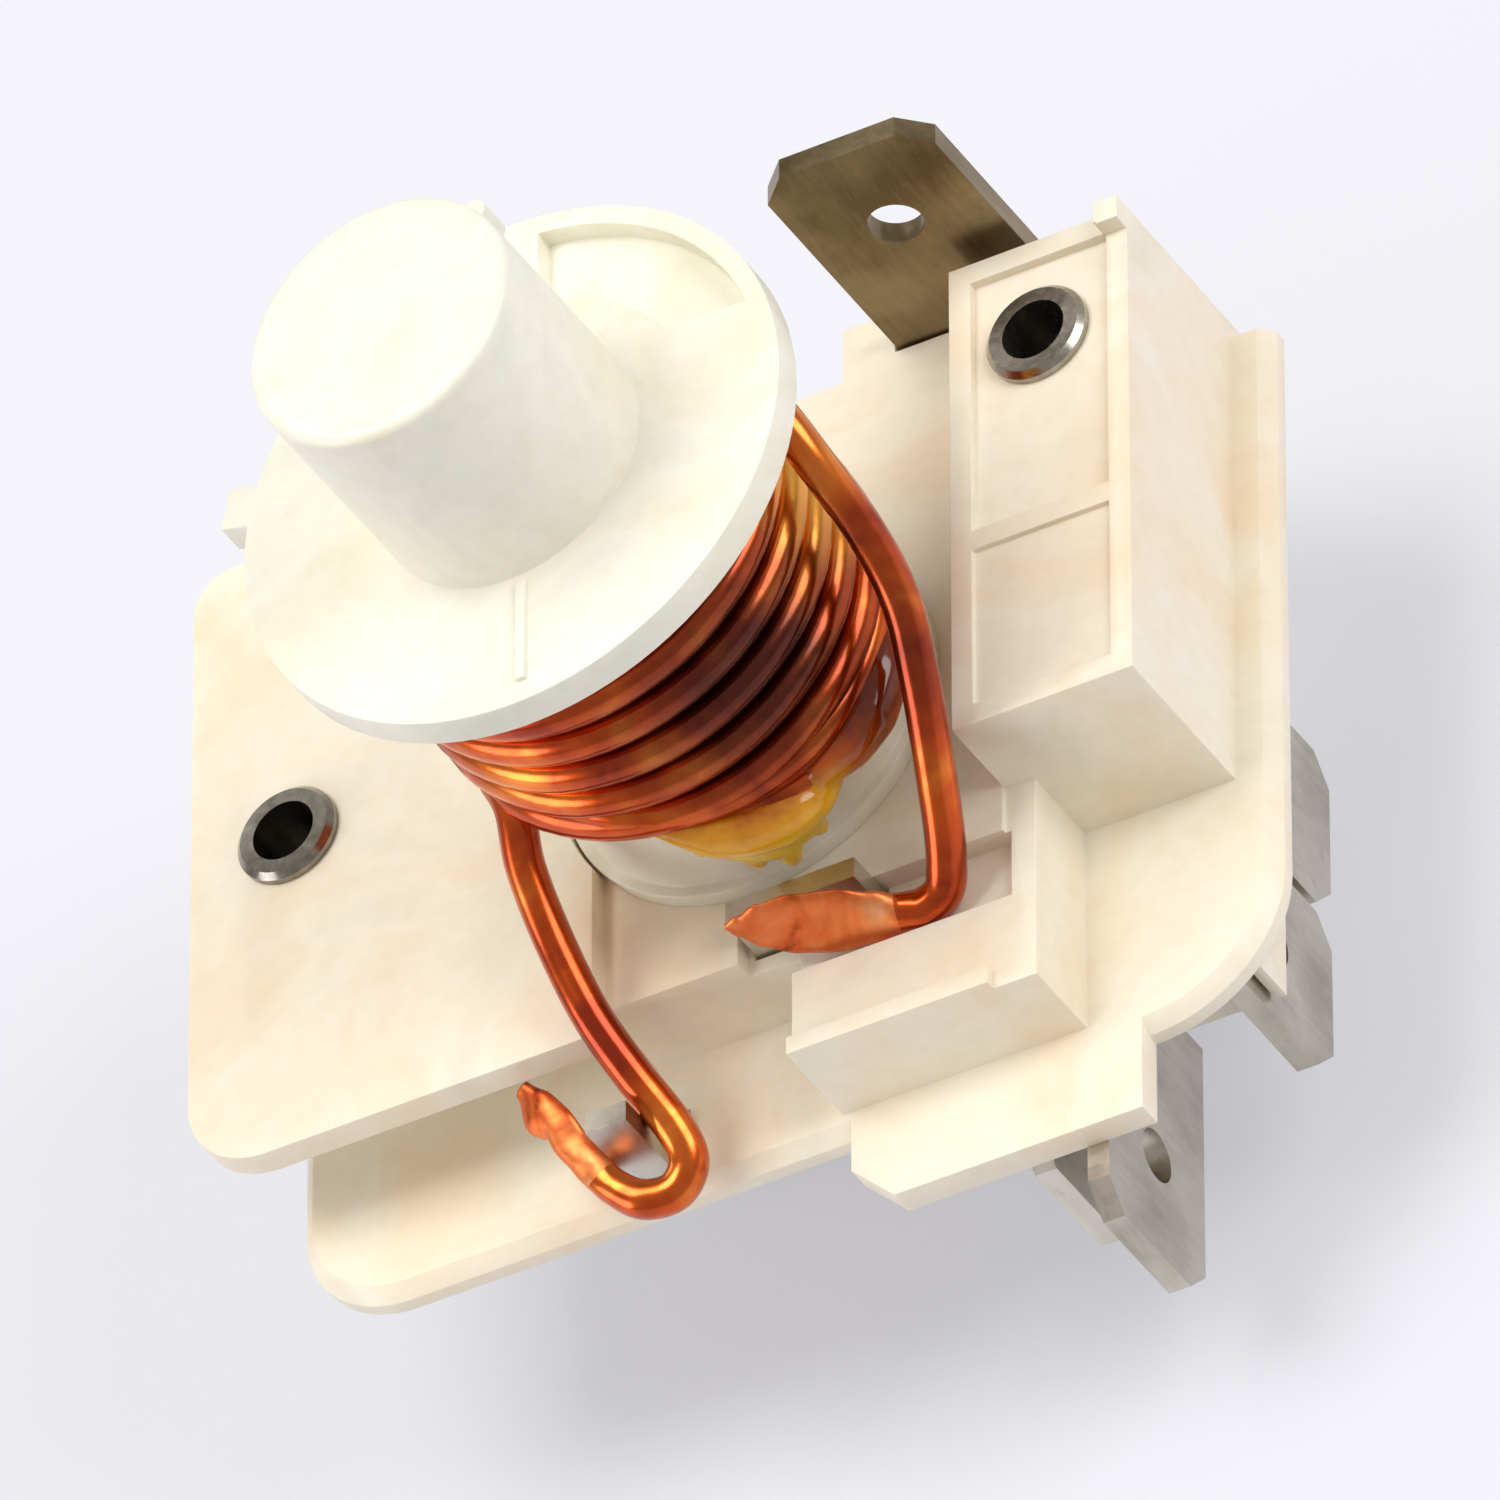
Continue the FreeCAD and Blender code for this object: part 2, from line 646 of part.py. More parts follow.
def make_coil_wire():
    height = top_z - bottom_z
    helix = Part.makeHelix(wire_pitch, height, winding_radius, 0, True)
    climb = wire_pitch / (2 * math.pi)
    slope = Vector(0, -winding_radius, climb).normalize()
    section = flattened_section(Vector(winding_radius, 0, 0), slope, Vector(1, 0, 0),
                                wire_radius, wire_radius)
    winding = Part.Wire(helix.Edges).makePipeShell([section], True, True)
    winding.rotate(Vector(0, 0, 0), Vector(0, 0, 1), lower_end_angle)
    winding.translate(Vector(coil_x, coil_y, bottom_z))

    upper_angle = math.radians(upper_end_angle)
    upper_end = Vector(coil_x + winding_radius * math.cos(upper_angle),
                       coil_y + winding_radius * math.sin(upper_angle), top_z)
    upper_way = Vector(winding_radius * math.sin(upper_angle),
                       -winding_radius * math.cos(upper_angle), climb).normalize()
    main_weld = Vector(main_lug_left + weld_length, main_lug_front - weld_thickness / 2 - strip_gap / 2,
                       weld_trough_floor + weld_width / 2)
    upper_route = [upper_end, upper_end + upper_way * upper_lead_run] + upper_lead_corners
    upper_route += [main_weld]
    upper_lead = tube_along(upper_route, upper_lead_radii)
    upper_flat = flattened_end(main_weld, Vector(-1, 0, 0), Vector(0, 0, 1), weld_length, weld_width)

    lower_angle = math.radians(lower_end_angle)
    lower_end = Vector(coil_x + winding_radius * math.cos(lower_angle),
                       coil_y + winding_radius * math.sin(lower_angle), bottom_z)
    lower_way = Vector(-winding_radius * math.sin(lower_angle),
                       winding_radius * math.cos(lower_angle), -climb).normalize()
    tail_way = Vector(lower_tail_way).normalize()
    lower_route = [lower_end, lower_end + lower_way * lower_lead_run] + lower_lead_corners
    lower_route += [lower_tail_start - tail_way * wire_diameter, lower_tail_start]
    lower_lead = tube_along(lower_route, lower_lead_radii)
    tail_wide = (lower_tail_wide - tail_way * lower_tail_wide.dot(tail_way)).normalize()
    lower_flat = flattened_end(lower_tail_start, tail_way, tail_wide, lower_tail_length, hook_weld_width)
    return union([winding, upper_lead, upper_flat, lower_lead, lower_flat])


def make_varnish_bead():
    """Bead of hardened varnish that hangs below the lowest turn on one side of the coil."""
    top = winding_bottom_z(varnish_end + 360) - wire_radius - varnish_gap
    centre = Vector(winding_radius, 0, top - varnish_height / 2)
    outline = Part.Face(flattened_section(centre, Vector(0, 1, 0), Vector(0, 0, 1),
                                          varnish_height / 2, varnish_width / 2))
    bead = outline.revolve(Vector(0, 0, 0), Vector(0, 0, 1), varnish_end - varnish_start)
    outer_half = outline.common(block(winding_radius, upper_flange_radius, -1, 1, platform_top, top))
    round_end = outer_half.revolve(centre, Vector(0, 0, 1), 360)
    far_end = round_end.copy()
    far_end.rotate(Vector(0, 0, 0), Vector(0, 0, 1), varnish_end - varnish_start)
    whole = bead.fuse([round_end, far_end])
    whole.rotate(Vector(0, 0, 0), Vector(0, 0, 1), varnish_start)
    whole.translate(Vector(coil_x, coil_y, 0))
    return whole.cut(post(coil_x, coil_y, tube_radius, platform_top, bobbin_top)).removeSplitter()


def make_plunger():
    radius = bore_radius - plunger_clearance
    bottom = platform_top - spigot_depth
    body = post(coil_x, coil_y, radius, bottom, bottom + plunger_length)
    rims = edges_at_level(body, bottom) + edges_at_level(body, bottom + plunger_length)
    body = body.makeChamfer(plunger_chamfer, rims)
    return body.cut(post(coil_x, coil_y, rod_radius, bottom - 1, bottom + rod_in_plunger))


contact_gap_top = strip_bottom - contact_height
bridge_top = contact_gap_top - plunger_lift - contact_height
bridge_bottom = bridge_top - bridge_thickness
rod_bottom = bridge_bottom - washer_thickness - rod_below_clip


def make_push_rod():
    plunger_bottom = platform_top - spigot_depth
    return post(coil_x, coil_y, rod_radius, rod_bottom, plunger_bottom + rod_in_plunger)


def make_washer(z0):
    ring = post(coil_x, coil_y, washer_radius, z0, z0 + washer_thickness)
    return ring.cut(post(coil_x, coil_y, rod_radius, z0 - 1, z0 + washer_thickness + 1))


def make_contact_bridge():
    bar = block(coil_x - bridge_length / 2, coil_x + bridge_length / 2,
                coil_y - bridge_width / 2, coil_y + bridge_width / 2, bridge_bottom, bridge_top)
    corners = []
    for x in [coil_x - bridge_length / 2, coil_x + bridge_length / 2]:
        for y in [coil_y - bridge_width / 2, coil_y + bridge_width / 2]:
            corners.append((x, y))
    bar = bar.makeFillet(bridge_corner_radius, edges_along_z(bar, corners))
    return bar.cut(post(coil_x, coil_y, rod_radius + bridge_clearance, bridge_bottom - 1, bridge_top + 1))


def make_contact(x, z0):
    return post(x, coil_y, contact_radius, z0, z0 + contact_height)


def make_contact_spring():
    free = spring_length - spring_wire
    helix = Part.makeHelix(free / spring_turns, free, spring_radius)
    corners = []
    for index in range(spring_sides):
        angle = 2 * math.pi * index / spring_sides
        corners.append(Vector(spring_radius + spring_wire / 2 * math.cos(angle), 0,
                              spring_wire / 2 * math.sin(angle)))
    section = Part.makePolygon(corners + [corners[0]])
    spring = Part.Wire(helix.Edges).makePipeShell([section], True, True)
    spring.translate(Vector(coil_x, coil_y, bridge_top + spring_wire / 2))
    return spring


def make_rivet(x, y, top):
    head_bottom = base_bottom - rivet_head_thickness
    shank = post(x, y, rivet_shank_radius, head_bottom, top + rivet_head_thickness)
    upper_head = post(x, y, rivet_head_radius, top, top + rivet_head_thickness)
    lower_head = post(x, y, rivet_head_radius, head_bottom, base_bottom)
    body = union([shank, upper_head, lower_head])
    rims = edges_at_level(body, top + rivet_head_thickness) + edges_at_level(body, head_bottom)
    body = body.makeChamfer(rivet_head_bevel, rims)
    return body.cut(post(x, y, rivet_bore_radius, head_bottom - 1, top + rivet_head_thickness + 1))


def make_pin_sleeve(x):
    radius = pin_radius + sleeve_wall
    bottom = socket_bottom + mouth_thickness
    sleeve = post(x, pin_row_y, radius, bottom, strip_bottom)
    sleeve = sleeve.cut(post(x, pin_row_y, pin_radius, bottom - 1, strip_bottom + 1))
    slit = block(x - sleeve_slit / 2, x + sleeve_slit / 2, pin_row_y, pin_row_y + radius + 1,
                 bottom - 1, strip_bottom + 1)
    return sleeve.cut(slit)


collar_bottom = bridge_top + spring_length

pieces = {
    "upper_housing": make_upper_housing(),
    "lower_housing": make_lower_housing(),
    "coil_bobbin": make_coil_bobbin(),
    "coil_wire": make_coil_wire(),
    "varnish_bead": make_varnish_bead(),
    "plunger": make_plunger(),
    "push_rod": make_push_rod(),
    "spring_collar": make_washer(collar_bottom),
    "bridge_clip": make_washer(bridge_bottom - washer_thickness),
    "contact_bridge": make_contact_bridge(),
    "contact_spring": make_contact_spring(),
    "moving_contact_left": make_contact(left_contact_x, bridge_top),
    "moving_contact_right": make_contact(right_contact_x, bridge_top),
    "fixed_contact_left": make_contact(left_contact_x, strip_bottom - contact_height),
    "fixed_contact_right": make_contact(right_contact_x, strip_bottom - contact_height),
    "line_terminal": make_line_terminal(),
    "main_terminal": make_main_terminal(),
    "capacitor_terminal": make_capacitor_terminal(),
    "start_terminal": make_start_terminal(),
    "neutral_terminal": make_neutral_terminal(),
    "main_pin_sleeve": make_pin_sleeve(main_pin_x),
    "start_pin_sleeve": make_pin_sleeve(start_pin_x),
    "rivet_left": make_rivet(left_rivet_x, left_rivet_y, deck_top),
    "rivet_right": make_rivet(right_rivet_x, right_rivet_y, tower_top - tower_recess_depth),
}

origin = Vector(main_pin_x, pin_row_y, socket_bottom + mouth_thickness)
for name, shape in pieces.items():
    placed = shape.copy()
    placed.translate(origin * -1)
    placed.exportStep("parts/" + name + ".step")
    print(name, shape.isValid(), len(shape.Solids), round(shape.Volume, 2))
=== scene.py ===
# %% [markdown]
# Start relay of a small compressor, dressed for a studio picture
#
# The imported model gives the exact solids. This script keeps them where they are, gives every
# one a material made from nodes, and builds again the pieces whose look needs more than flat
# faces: the mouldings with soft edges, the copper coil with its loose turns, and the varnish.

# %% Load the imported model
import json
import math

import bmesh
import bpy
from mathutils import Matrix, Vector, noise

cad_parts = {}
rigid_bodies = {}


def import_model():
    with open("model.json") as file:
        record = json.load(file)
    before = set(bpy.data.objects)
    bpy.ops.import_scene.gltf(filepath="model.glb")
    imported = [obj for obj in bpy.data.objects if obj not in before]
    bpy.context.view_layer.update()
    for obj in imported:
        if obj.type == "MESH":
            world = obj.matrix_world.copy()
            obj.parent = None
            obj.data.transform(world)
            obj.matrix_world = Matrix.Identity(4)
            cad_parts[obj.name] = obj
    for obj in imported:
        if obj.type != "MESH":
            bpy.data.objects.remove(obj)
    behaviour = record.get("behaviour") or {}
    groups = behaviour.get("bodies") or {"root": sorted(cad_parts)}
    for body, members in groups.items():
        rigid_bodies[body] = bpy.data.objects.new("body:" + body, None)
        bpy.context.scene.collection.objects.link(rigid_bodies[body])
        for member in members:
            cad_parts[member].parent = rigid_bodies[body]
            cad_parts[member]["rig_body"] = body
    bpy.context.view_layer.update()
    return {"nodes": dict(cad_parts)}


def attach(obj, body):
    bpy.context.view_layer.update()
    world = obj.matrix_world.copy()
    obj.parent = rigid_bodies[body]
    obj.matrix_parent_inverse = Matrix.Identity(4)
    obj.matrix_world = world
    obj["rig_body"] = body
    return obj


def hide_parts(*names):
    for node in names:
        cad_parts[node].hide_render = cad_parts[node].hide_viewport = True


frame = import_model()
nodes = frame["nodes"]
print("nodes:", len(nodes))

# %% [markdown]
# Sizes are written in millimetres as a maker would read them. The drawing starts at the deck's
# front left corner, and the model's own origin is the lower end of the main pin's sleeve, so one
# function moves a point of the drawing to the model. Much of this relay goes round the coil, so
# a second function gives a point by its angle round the coil's axis.

# %% Millimetres and places
MM = 0.001
ORIGIN = Vector((20.0, 18.5, -14.2))
AXIS_X, AXIS_Y = 21.0, 11.0


def at(x, y, z):
    """A point of the drawing, in metres in the model's frame."""
    return (Vector((x, y, z)) - ORIGIN) * MM


def around(degrees, radius, height):
    """A point of the drawing in millimetres, by its angle round the coil's axis."""
    angle = math.radians(degrees)
    return AXIS_X + radius * math.cos(angle), AXIS_Y + radius * math.sin(angle), height


print("coil axis at", tuple(round(v, 5) for v in at(AXIS_X, AXIS_Y, 0.0)))


# %% [markdown]
# Colours are written as sRGB hex values, as they are read from a picture. Shaders work with
# linear light, so one function turns a hex value to linear numbers.
# A second small function adds any node with its settings and its links, and every material and
# every geometry tree below is made with it. A noise is given by the real size of its lumps.

# %% Colour and node helpers
def colour(text):
    """An sRGB hex value as linear RGBA."""
    parts = [int(text[index:index + 2], 16) / 255 for index in (1, 3, 5)]
    linear = [p / 12.92 if p <= 0.04045 else ((p + 0.055) / 1.055) ** 2.4 for p in parts]
    return (*linear, 1.0)


def lumps(size_mm):
    """The scale of a noise whose lumps are so many millimetres wide."""
    return 1000.0 / size_mm


def feed(tree, node, values=None, links=None):
    """Sets some sockets of a node to numbers or colours, and links others from other nodes."""
    for name, value in (values or {}).items():
        node.inputs[name].default_value = value
    for name, source in (links or {}).items():
        tree.links.new(source, node.inputs[name])


def add(tree, kind, settings=None, values=None, links=None, stops=()):
    """Adds a node with its properties, its sockets and, for a ramp, its (position, hex) stops."""
    node = tree.nodes.new(kind)
    for name, value in (settings or {}).items():
        setattr(node, name, value)
    feed(tree, node, values, links)
    for index, (position, text) in enumerate(stops):
        band = node.color_ramp.elements
        if index == len(band):
            band.new(position)
        band[index].position = position
        band[index].color = colour(text)
    return node


def new_material(name):
    """A new material, its node tree, its Principled shader and the Object coordinates."""
    material = bpy.data.materials.new(name)
    material.use_nodes = True
    tree = material.node_tree
    tree.nodes.clear()
    shader = add(tree, "ShaderNodeBsdfPrincipled")
    add(tree, "ShaderNodeOutputMaterial", links={"Surface": shader.outputs["BSDF"]})
    place = add(tree, "ShaderNodeTexCoord").outputs["Object"]
    return material, tree, shader, place


print("helpers ready")


# %% [markdown]
# The mouldings are glass filled PBT, injection moulded. It is an ivory plastic with a satin skin.
# Fresh from the tool it has cloudy flow marks some millimetres wide, a slight yellow warmth from
# heat, and a fine spark eroded grain, which is drawn at 0.35 mm so that it shows. A little light
# enters the skin and comes out beside it, which keeps the thin ribs from looking like chalk.

# %% Ivory PBT of the mouldings
def make_moulded_plastic(name, pale, warm, dull, grain_mm, roughness):
    material, tree, shader, place = new_material(name)
    clouds = add(tree, "ShaderNodeTexNoise", links={"Vector": place},
                 values={"Scale": lumps(7.0), "Detail": 4.0, "Roughness": 0.55, "Distortion": 0.6})
    body = add(tree, "ShaderNodeValToRGB", links={"Fac": clouds.outputs["Fac"]},
               stops=[(0.3, warm), (0.52, pale), (0.75, dull)])
    dust = add(tree, "ShaderNodeTexNoise", links={"Vector": place},
               values={"Scale": lumps(0.9), "Detail": 5.0, "Roughness": 0.6})
    dust_share = add(tree, "ShaderNodeMapRange", links={"Value": dust.outputs["Fac"]},
                     values={"From Min": 0.45, "From Max": 0.75, "To Min": 0.0, "To Max": 0.16})
    tinted = add(tree, "ShaderNodeMix", {"data_type": "RGBA", "blend_type": "MULTIPLY"},
                 {7: colour("#E3D6B8")},
                 {"Factor": dust_share.outputs["Result"], 6: body.outputs["Color"]})
    satin = add(tree, "ShaderNodeMapRange", links={"Value": clouds.outputs["Fac"]},
                values={"From Min": 0.3, "From Max": 0.7,
                        "To Min": roughness - 0.07, "To Max": roughness + 0.1})
    skin = add(tree, "ShaderNodeTexNoise", links={"Vector": place},
               values={"Scale": lumps(grain_mm), "Detail": 2.0})
    skin_share = add(tree, "ShaderNodeMapRange", links={"Value": skin.outputs["Fac"]},
                     values={"To Min": 0.0, "To Max": 0.35})
    waves = add(tree, "ShaderNodeTexNoise", links={"Vector": place},
                values={"Scale": lumps(5.0), "Detail": 1.0})
    height = add(tree, "ShaderNodeMath", {"operation": "ADD"},
                 links={0: skin_share.outputs["Result"], 1: waves.outputs["Fac"]})
    relief = add(tree, "ShaderNodeBump", values={"Strength": 0.5, "Distance": 0.05 * MM},
                 links={"Height": height.outputs["Value"]})
    feed(tree, shader,
         {"IOR": 1.5, "Subsurface Weight": 0.12, "Subsurface Radius": (0.0012, 0.0009, 0.0005),
          "Subsurface Scale": 1.0},
         {"Base Color": tinted.outputs[2], "Roughness": satin.outputs["Result"],
          "Normal": relief.outputs["Normal"]})
    return material


ivory = make_moulded_plastic("moulded_ivory_pbt", "#EEE7D5", "#EEDCC2", "#E2DCC9", 0.35, 0.42)
natural = make_moulded_plastic("moulded_natural_pbt", "#EEECDF", "#E6E2CC", "#DDE0D2", 0.3, 0.38)
print("plastics:", ivory.name, natural.name)


# %% [markdown]
# Enamelled copper wire is bare copper under a clear reddish enamel a few hundredths of a
# millimetre thick. The metal is copper, so the material is almost fully metallic, and the enamel
# is a thin smooth coat over it. The colour wanders from deep red in the shade to orange where the
# enamel is thin, in patches a few millimetres long. Towards a spot at the front right the colour
# darkens to a near black brown, which is painted shade. Near a spot at the upper right it turns to
# gold, which is a painted highlight.

# %% Enamelled copper
# The centre of the painted shade at the front right of the winding.
PAINTED_SHADE_SPOT = at(26.2, 5.0, 8.0)
# The centre of the painted highlight at the upper right of the winding.
PAINTED_HIGHLIGHT_SPOT = at(28.2, 12.6, 9.8)


def make_enamelled_copper():
    material, tree, shader, place = new_material("enamelled_copper")
    patches = add(tree, "ShaderNodeTexNoise", links={"Vector": place},
                  values={"Scale": lumps(3.5), "Detail": 3.0, "Roughness": 0.6, "Distortion": 0.4})
    metal = add(tree, "ShaderNodeValToRGB", links={"Fac": patches.outputs["Fac"]},
                stops=[(0.3, "#9E2E04"), (0.5, "#CC500A"), (0.72, "#F0862A")])
    # Painted shade: towards the spot at the front right the colour darkens to a near black brown.
    from_painted_shade = add(tree, "ShaderNodeVectorMath", {"operation": "DISTANCE"}, {1: PAINTED_SHADE_SPOT},
                      {0: place})
    blotches = add(tree, "ShaderNodeTexNoise", links={"Vector": place},
                   values={"Scale": lumps(1.6), "Detail": 3.0, "Roughness": 0.6})
    uneven = add(tree, "ShaderNodeMath", {"operation": "MULTIPLY_ADD"}, {1: 4.0 * MM},
                 {0: blotches.outputs["Fac"], 2: from_painted_shade.outputs["Value"]})
    painted_shade_share = add(tree, "ShaderNodeMapRange", links={"Value": uneven.outputs["Value"]},
                       values={"From Min": 3.5 * MM, "From Max": 9.0 * MM,
                               "To Min": 0.9, "To Max": 0.0})
    shaded_copper = add(tree, "ShaderNodeMix", {"data_type": "RGBA"}, {7: colour("#360B05")},
                  {"Factor": painted_shade_share.outputs["Result"], 6: metal.outputs["Color"]})
    # Painted highlight: near the spot at the upper right the colour turns gold.
    from_painted_highlight = add(tree, "ShaderNodeVectorMath", {"operation": "DISTANCE"}, {1: PAINTED_HIGHLIGHT_SPOT}, {0: place})
    painted_highlight_share = add(tree, "ShaderNodeMapRange", links={"Value": from_painted_highlight.outputs["Value"]},
                     values={"From Min": 1.4 * MM, "From Max": 5.0 * MM,
                             "To Min": 0.85, "To Max": 0.0})
    highlighted_copper = add(tree, "ShaderNodeMix", {"data_type": "RGBA"}, {7: colour("#F6BC50")},
                 {"Factor": painted_highlight_share.outputs["Result"], 6: shaded_copper.outputs[2]})
    smear = add(tree, "ShaderNodeTexNoise", links={"Vector": place},
                values={"Scale": lumps(1.2), "Detail": 3.0})
    gloss = add(tree, "ShaderNodeMapRange", links={"Value": smear.outputs["Fac"]},
                values={"To Min": 0.16, "To Max": 0.32})
    ripples = add(tree, "ShaderNodeTexNoise", links={"Vector": place},
                  values={"Scale": lumps(0.6), "Detail": 2.0})
    relief = add(tree, "ShaderNodeBump", values={"Strength": 0.35, "Distance": 0.02 * MM},
                 links={"Height": ripples.outputs["Fac"]})
    feed(tree, shader, {"Metallic": 0.9, "Coat Weight": 0.4, "Coat Roughness": 0.1},
         {"Base Color": highlighted_copper.outputs[2], "Roughness": gloss.outputs["Result"],
          "Normal": relief.outputs["Normal"]})
    return material


copper = make_enamelled_copper()
print("wire:", copper.name)


# %% [markdown]
# Where the wire's ends were scraped and welded the enamel is gone. The pressed flats show bare
# copper in patches of salmon and rust, duller than the wire, with dents from the press.

# %% Bare copper of the weld flats
def make_bare_copper():
    material, tree, shader, place = new_material("scraped_copper")
    patches = add(tree, "ShaderNodeTexNoise", links={"Vector": place},
                  values={"Scale": lumps(1.8), "Detail": 3.0, "Roughness": 0.6, "Distortion": 0.6})
    metal = add(tree, "ShaderNodeValToRGB", links={"Fac": patches.outputs["Fac"]},
                stops=[(0.3, "#8E3212"), (0.42, "#DC6A34"), (0.6, "#EC8A50"), (0.78, "#F4B484")])
    gloss = add(tree, "ShaderNodeMapRange", links={"Value": patches.outputs["Fac"]},
                values={"To Min": 0.3, "To Max": 0.5})
    dents = add(tree, "ShaderNodeTexNoise", links={"Vector": place},
                values={"Scale": lumps(0.8), "Detail": 3.0, "Roughness": 0.6})
    relief = add(tree, "ShaderNodeBump", values={"Strength": 0.5, "Distance": 0.05 * MM},
                 links={"Height": dents.outputs["Fac"]})
    feed(tree, shader, {"Metallic": 0.9},
         {"Base Color": metal.outputs["Color"], "Roughness": gloss.outputs["Result"],
          "Normal": relief.outputs["Normal"]})
    return material


scraped = make_bare_copper()
print("weld flats:", scraped.name)


# %% [markdown]
# The drips are impregnating varnish, a resin that set as it ran down. It is gold where it is thin
# at its lower edge and brown red where it is thick, soaked with the enamel's colour. So the colour
# goes with the height, on a slant towards the right, and patches break it up. The resin lets some
# light through and has a very smooth skin.

# %% Amber varnish
VARNISH_EDGE = at(22.8, 0.0, 1.6)
SLANT = 0.34
PATCH_HEIGHT = 2.2 * MM


def make_varnish():
    material, tree, shader, place = new_material("amber_varnish")
    parts = add(tree, "ShaderNodeSeparateXYZ", links={"Vector": place})
    patches = add(tree, "ShaderNodeTexNoise", links={"Vector": place},
                  values={"Scale": lumps(1.7), "Detail": 3.0, "Roughness": 0.6})
    height = add(tree, "ShaderNodeMath", {"operation": "MULTIPLY_ADD"}, {1: PATCH_HEIGHT},
                 {0: patches.outputs["Fac"], 2: parts.outputs["Z"]})
    slanted = add(tree, "ShaderNodeMath", {"operation": "MULTIPLY_ADD"}, {1: SLANT},
                  {0: parts.outputs["X"], 2: height.outputs["Value"]})
    level = VARNISH_EDGE.z + PATCH_HEIGHT / 2 + SLANT * VARNISH_EDGE.x
    depth = add(tree, "ShaderNodeMapRange", links={"Value": slanted.outputs["Value"]},
                values={"From Min": level + 0.4 * MM, "From Max": level + 4.2 * MM,
                        "To Min": 0.0, "To Max": 1.0})
    resin = add(tree, "ShaderNodeValToRGB", links={"Fac": depth.outputs["Result"]},
                stops=[(0.0, "#FFD638"), (0.35, "#F2AE1E"), (0.6, "#BE5A0C"), (0.9, "#7A2808")])
    waves = add(tree, "ShaderNodeTexNoise", links={"Vector": place},
                values={"Scale": lumps(1.1), "Detail": 1.0})
    relief = add(tree, "ShaderNodeBump", values={"Strength": 0.25, "Distance": 0.12 * MM},
                 links={"Height": waves.outputs["Fac"]})
    feed(tree, shader, {"Roughness": 0.1, "IOR": 1.52, "Transmission Weight": 0.3},
         {"Base Color": resin.outputs["Color"], "Normal": relief.outputs["Normal"]})
    return material


varnish = make_varnish()
print("resin:", varnish.name)


# %% [markdown]
# The strips are brass with a thin tin skin, stamped from sheet. They are a brownish grey with a
# rolled grain and spots of tarnish. The grain is a noise that is stretched upwards, so it runs
# along the upright strip, which is tarnished all over. The same recipe with other colours gives
# the rivets, contacts, plunger, spring and bridge, each with the stretch that suits it.

# %% Tinned brass and the other metals
def make_rolled_metal(name, dark, middle, light, rough_low, rough_high, stretch, spots=0.0):
    material, tree, shader, place = new_material(name)
    rolled = add(tree, "ShaderNodeMapping", values={"Scale": stretch}, links={"Vector": place})
    lines = add(tree, "ShaderNodeTexNoise", links={"Vector": rolled.outputs["Vector"]},
                values={"Scale": lumps(0.3), "Detail": 3.0, "Roughness": 0.6})
    patches = add(tree, "ShaderNodeTexNoise", links={"Vector": place},
                  values={"Scale": lumps(4.5), "Detail": 3.0})
    both = add(tree, "ShaderNodeMix", {"data_type": "FLOAT"}, {0: 0.2},
               {2: patches.outputs["Fac"], 3: lines.outputs["Fac"]})
    surface = add(tree, "ShaderNodeValToRGB", links={"Fac": both.outputs[0]},
                  stops=[(0.32, dark), (0.5, middle), (0.7, light)]).outputs["Color"]
    if spots:
        dirt = add(tree, "ShaderNodeTexNoise", links={"Vector": place},
                   values={"Scale": lumps(0.7), "Detail": 3.0, "Roughness": 0.7})
        dirt_share = add(tree, "ShaderNodeMapRange", links={"Value": dirt.outputs["Fac"]},
                         values={"From Min": 0.58, "From Max": 0.7, "To Min": 0.0, "To Max": spots})
        surface = add(tree, "ShaderNodeMix", {"data_type": "RGBA"}, {7: colour(dark)},
                      {"Factor": dirt_share.outputs["Result"], 6: surface}).outputs[2]
    gloss = add(tree, "ShaderNodeMapRange", links={"Value": both.outputs[0]},
                values={"From Min": 0.3, "From Max": 0.7,
                        "To Min": rough_low, "To Max": rough_high})
    relief = add(tree, "ShaderNodeBump", values={"Strength": 0.5, "Distance": 0.012 * MM},
                 links={"Height": lines.outputs["Fac"]})
    feed(tree, shader, {"Metallic": 1.0},
         {"Base Color": surface, "Roughness": gloss.outputs["Result"],
          "Normal": relief.outputs["Normal"]})
    return material


UPRIGHT_GRAIN = (1.0, 1.0, 0.12)
tinned = make_rolled_metal("tinned_brass_strip", "#A39C8E", "#C4BEB2", "#DAD6CC", 0.26, 0.4,
                           UPRIGHT_GRAIN, 0.35)
tarnished = make_rolled_metal("tarnished_brass_strip", "#6E5F45", "#8F8064", "#AA9D84", 0.26, 0.4,
                              UPRIGHT_GRAIN, 0.35)
nickel = make_rolled_metal("nickel_plated_rivet", "#6E6A62", "#A8A49A", "#D8D4C8", 0.16, 0.34,
                           (1.0, 1.0, 0.3), 0.3)
silver = make_rolled_metal("silver_alloy_contact", "#A5A29A", "#CFCCC4", "#E6E4DE", 0.25, 0.4,
                           (1.0, 1.0, 1.0))
iron = make_rolled_metal("soft_iron_plunger", "#4B4A49", "#6B6A68", "#8C8A86", 0.35, 0.55,
                         (1.0, 1.0, 0.15))
spring_steel = make_rolled_metal("spring_steel_wire", "#77787A", "#A3A4A6", "#C9CACB", 0.2, 0.35,
                                 (1.0, 1.0, 1.0))
bridge_brass = make_rolled_metal("brass_contact_bridge", "#8A5A2A", "#B98546", "#D9AE6E", 0.25,
                                 0.42, (0.15, 1.0, 1.0))
print("metals:", tinned.name, nickel.name, silver.name, iron.name)

# %% [markdown]
# The push rod is a turned stick of laminated phenolic, brown and matt, which stands the heat of
# the arc in the contact chamber. It takes the recipe of the moulded plastic in other colours.

# %% Phenolic push rod
phenolic = make_moulded_plastic("turned_phenolic", "#8A5C36", "#7C4F2C", "#6E4526", 0.4, 0.5)
print("rod:", phenolic.name)

# %% [markdown]
# Every CAD node gets its finish in its own material slot. The meshes of these nodes stay as
# they are.

